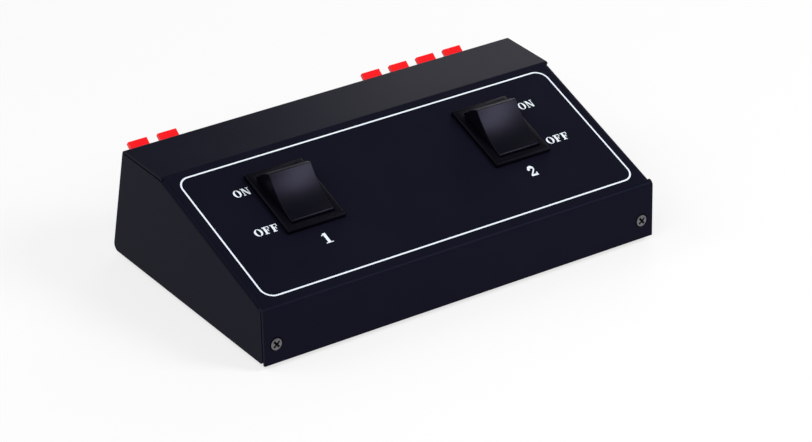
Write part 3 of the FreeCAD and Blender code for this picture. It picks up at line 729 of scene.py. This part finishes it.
def screw():
    """Countersunk screw with a domed head and a cross recess.

    Head: polar grid whose height is dome * (1 - (r / R)^2), less the recess depth inside either arm of
    a cross, which fades over a short wall. Below it the cone and the shank follow as further rows.
    The painted light is 1 on the plain dome and falls to nothing in the recess and below the rim, which carry
    painted shade.
    """
    ring = np.append(np.linspace(0.03, 1, SCREW_RINGS) * SCREW_RIM, SCREW_HEAD_RADIUS * 0.99)
    turn = np.arange(SCREW_COLUMNS) * 2 * math.pi / SCREW_COLUMNS
    across = ring[:, None] * np.cos(turn)
    up = ring[:, None] * np.sin(turn)
    along = across * math.cos(CROSS_TURN) + up * math.sin(CROSS_TURN)
    beside = up * math.cos(CROSS_TURN) - across * math.sin(CROSS_TURN)
    arms = [np.clip((CROSS_HALF_WIDTH - np.abs(narrow)) / CROSS_WALL, 0, 1)
            * np.clip((CROSS_REACH - np.abs(wide)) / CROSS_WALL, 0, 1)
            for narrow, wide in ((along, beside), (beside, along))]
    cross = np.maximum(*arms)
    taper = 1 - CROSS_TAPER * np.clip(ring / CROSS_REACH, 0, 1)[:, None]
    height = SCREW_DOME * (1 - (ring / SCREW_RIM) ** 2)[:, None] - CROSS_DEPTH * cross * taper
    height[-1] = -SCREW_RIM_DROP
    head = np.stack([across, up, height], axis=-1)
    below = [(SCREW_HEAD_RADIUS * 0.95, -SCREW_RIM_DROP - 0.1 * MM), (SCREW_RADIUS, -SCREW_CONE),
             (SCREW_RADIUS, -SCREW_LENGTH)]
    rows = [np.stack([r * np.cos(turn), r * np.sin(turn), np.full(SCREW_COLUMNS, z)], axis=-1)
            for r, z in below]
    points = np.concatenate([head, np.stack(rows)])
    # Painted light per point: 0 in the cross recess and below the rim, where the colour carries painted
    # shade.
    painted_light = np.zeros(points.shape[:2])
    painted_light[:SCREW_RINGS - 1] = 1 - np.clip(1.6 * cross, 0, 1)[:SCREW_RINGS - 1]
    return tube(points, clockwise=True), painted_light


def rivet():
    """Rivet whose head is a quarter ellipse from the edge of a round dimple down to the rim."""
    dome = arc((0, 0), 1, math.pi / 2, 0, 9) * np.array([RIVET_HEAD_RADIUS - RIVET_DIMPLE, RIVET_HEAD_HEIGHT])
    dimple = [(AXIS_RADIUS, RIVET_DIMPLE_LEVEL), (RIVET_DIMPLE_FLOOR, RIVET_DIMPLE_LEVEL)]
    tail = -BLOCK_FLANGE - SHEET
    shank = [(RIVET_RADIUS, 0), (RIVET_RADIUS, tail), (AXIS_RADIUS, tail)]
    return lathe(np.vstack([dimple, dome + np.array([RIVET_DIMPLE, 0]), shank]), RIVET_COLUMNS)


def foot():
    """Round foot with a rounded lower edge, a quarter circle, and a shallow hollow below."""
    edge = arc((FOOT_RADIUS - FOOT_ROUND, FOOT_ROUND), FOOT_ROUND, 0, -math.pi / 2, 7)
    top = [(AXIS_RADIUS, FOOT_HEIGHT), (FOOT_RADIUS, FOOT_HEIGHT)]
    hollow = [(FOOT_HOLLOW_RADIUS, 0), (FOOT_HOLLOW_FLOOR, FOOT_HOLLOW_DEPTH),
              (AXIS_RADIUS, FOOT_HOLLOW_DEPTH)]
    return lathe(np.vstack([top, edge, hollow]), FOOT_COLUMNS)


def fastened(shape, places, rise, axes, panel_foot, lift=0.0):
    """Copies of one shape on a leaning panel, at places across it and one height up it."""
    points, faces, loops = shape
    return [((points + np.array([x * axes[0][0], rise, lift])) @ axes + panel_foot, faces, loops)
            for x in places]


screw_shape, screw_painted_light = screw()
screws = fastened(screw_shape, FRONT_SCREWS, SCREW_RISE, FRONT_PANEL, front_foot)
screws += fastened(screw_shape, REAR_SCREWS, SCREW_RISE, REAR_PANEL, rear_foot)
screw_piece = put_mesh("case_screw_heads", screws, "case", finishes["screw_steel"])
# Per point painted light for the screw colour; 0 marks painted shade in the recess and below the rim.
painted_light = screw_piece.data.attributes.new("painted_light", "FLOAT", "POINT")
painted_light.data.foreach_set("value", np.tile(screw_painted_light.ravel(), len(screws)).astype(np.float32))
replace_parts(screw_piece, "case_screws")

rivets = fastened(rivet(), RIVETS, RIVET_RISE, REAR_PANEL, rear_foot, BLOCK_FLANGE)
rivet_piece = put_mesh("rivet_heads", rivets, "case", finishes["rivet_aluminium"])
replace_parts(rivet_piece, "block_rivets")

foot_points, foot_faces, foot_loops = foot()
feet = [(foot_points + np.array([x, y, 0]), foot_faces, foot_loops)
        for x in (-FOOT_X, FOOT_X) for y in (-FOOT_Y, FOOT_Y)]
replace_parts(put_mesh("rounded_feet", feet, "case", finishes["black_rubber"]), "rubber_feet")


# Moulded pieces with eased edges

for number in (1, 2):
    housing = softened("switch_housing_%d" % number, "case", "switch_black_plastic", HOUSING_EASE)
    housing.data.materials[0] = bezel_plastic
for bank in ("input", "output"):
    softened(bank + "_terminal_block", "case", "block_black_plastic", BLOCK_EASE)
for colour in ("red", "black"):
    for number in range(1, 7):
        lever = "lever_%s_%d" % (colour, number)
        softened(lever, lever, "lever_%s_plastic" % colour, LEVER_EASE)


# Studio

def area_light(name, place, target, size, power):
    lamp = bpy.data.lights.new(name, "AREA")
    lamp.shape = "RECTANGLE"
    lamp.size = size[0]
    lamp.size_y = size[1]
    lamp.energy = power
    holder = bpy.data.objects.new(name, lamp)
    holder.location = place
    holder.rotation_mode = "QUATERNION"
    holder.rotation_quaternion = (Vector(target) - Vector(place)).to_track_quat("-Z", "Y")
    bpy.context.scene.collection.objects.link(holder)


def camera():
    """Camera at the photograph's place: turned by azimuth and elevation about its target, then rolled."""
    a = CAMERA_AZIMUTH
    e = CAMERA_ELEVATION
    back = Vector((math.sin(a) * math.cos(e), -math.cos(a) * math.cos(e), math.sin(e)))
    level = Vector((math.cos(a), math.sin(a), 0))
    upright = back.cross(level)
    right = math.cos(CAMERA_ROLL) * level + math.sin(CAMERA_ROLL) * upright
    up = math.cos(CAMERA_ROLL) * upright - math.sin(CAMERA_ROLL) * level
    data = bpy.data.cameras.new("camera")
    data.sensor_width = SENSOR_WIDTH
    data.lens = SENSOR_WIDTH * FOCAL_PIXELS / IMAGE_WIDTH
    data.clip_start = 0.01
    data.clip_end = 50
    holder = bpy.data.objects.new("camera", data)
    turn = Matrix((right, up, back)).transposed().to_4x4()
    holder.matrix_world = Matrix.Translation(CAMERA_TARGET + back * CAMERA_DISTANCE) @ turn
    bpy.context.scene.collection.objects.link(holder)
    bpy.context.scene.camera = holder


def studio_floor():
    """Pale floor that the camera sees near white, and that still takes the object's shadow."""
    floor = Finish("pale_floor", Specular_IOR_Level=0.1, Roughness=0.9)
    floor.feed("Base Color", floor.blend(floor.noise(3.0), (0.90, 0.90, 0.90), (0.93, 0.93, 0.93)))
    camera_ray = floor.node("ShaderNodeLightPath", output="Is Camera Ray")
    rays = camera_ray.socket.node.outputs
    seen = camera_ray + Value(floor.tree, rays["Is Glossy Ray"])
    seen = seen + Value(floor.tree, rays["Is Transmission Ray"])
    white = floor.node("ShaderNodeEmission", Color=(1, 1, 1, 1), Strength=1.0)
    mix = floor.tree.nodes.new("ShaderNodeMixShader")
    plug(floor.tree, mix.inputs[0], seen * FLOOR_WHITE)
    floor.tree.links.new(floor.shader.outputs[0], mix.inputs[1])
    plug(floor.tree, mix.inputs[2], white)
    floor.tree.links.new(mix.outputs[0], floor.tree.nodes["Material Output"].inputs[0])
    corners = FLOOR_REACH * np.array([[-1, -1, 0], [1, -1, 0], [1, 1, 0], [-1, 1, 0]])
    mesh = bpy.data.meshes.new("floor")
    mesh.from_pydata(corners.tolist(), [], [[0, 1, 2, 3]])
    piece = bpy.data.objects.new("floor", mesh)
    bpy.context.scene.collection.objects.link(piece)
    mesh.materials.append(floor.material)


def world():
    """Even pale room, the same from all sides."""
    room = bpy.data.worlds.new("studio")
    bpy.context.scene.world = room
    room.use_nodes = True
    background = room.node_tree.nodes["Background"]
    background.inputs["Color"].default_value = (1, 1, 1, 1)
    background.inputs["Strength"].default_value = ROOM_LIGHT


studio_floor()
world()
area_light("main_window", (-0.85, -0.55, 1.15), (0, 0, 0), (1.1, 1.1), 9.5)
area_light("front_right", (0.57, -0.64, 0.70), (0, 0, 0.03), (0.34, 0.58), 6.8)
area_light("back_right", (0.61, 0.56, 0.36), (0.03, 0.03, 0.047), (0.44, 0.30), 1.5)
area_light("back_left", (-0.68, 0.34, 0.66), (0, 0, 0.03), (0.45, 0.45), 2.0)
camera()
bpy.context.scene.view_settings.view_transform = "Standard"
